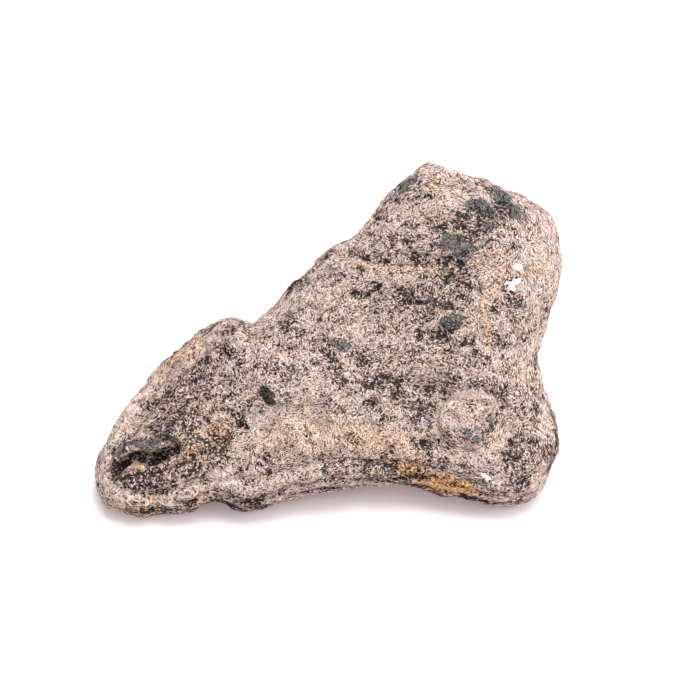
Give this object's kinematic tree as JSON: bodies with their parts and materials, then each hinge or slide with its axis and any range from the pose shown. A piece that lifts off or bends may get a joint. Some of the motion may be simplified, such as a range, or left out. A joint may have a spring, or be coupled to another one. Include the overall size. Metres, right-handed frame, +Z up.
{
  "type": "rough alexandrite specimen",
  "caption": "Rough block of pinkish-grey mica schist with dark greenish alexandrite crystals in its faces: a low wedge with a thin toe, a heel and a high back corner; rests on its underside",
  "frame": {"origin": "The middle of the flat spot that the stone rests on, on the table under its middle", "axes": "+X runs from the thin toe to the heel, along the longest extent. +Y runs from the front edge to the high back corner. +Z is up, along the shortest extent."},
  "size_m": [0.0945, 0.0744, 0.03],
  "materials": {
    "mica_schist": "rough matted pinkish-beige, grey and black mica flakes with tan and rust stains and dark greenish crystal patches"
  },
  "bodies": {
    "root": {"alexandrite_specimen": "mica_schist"}
  },
  "joints": []
}
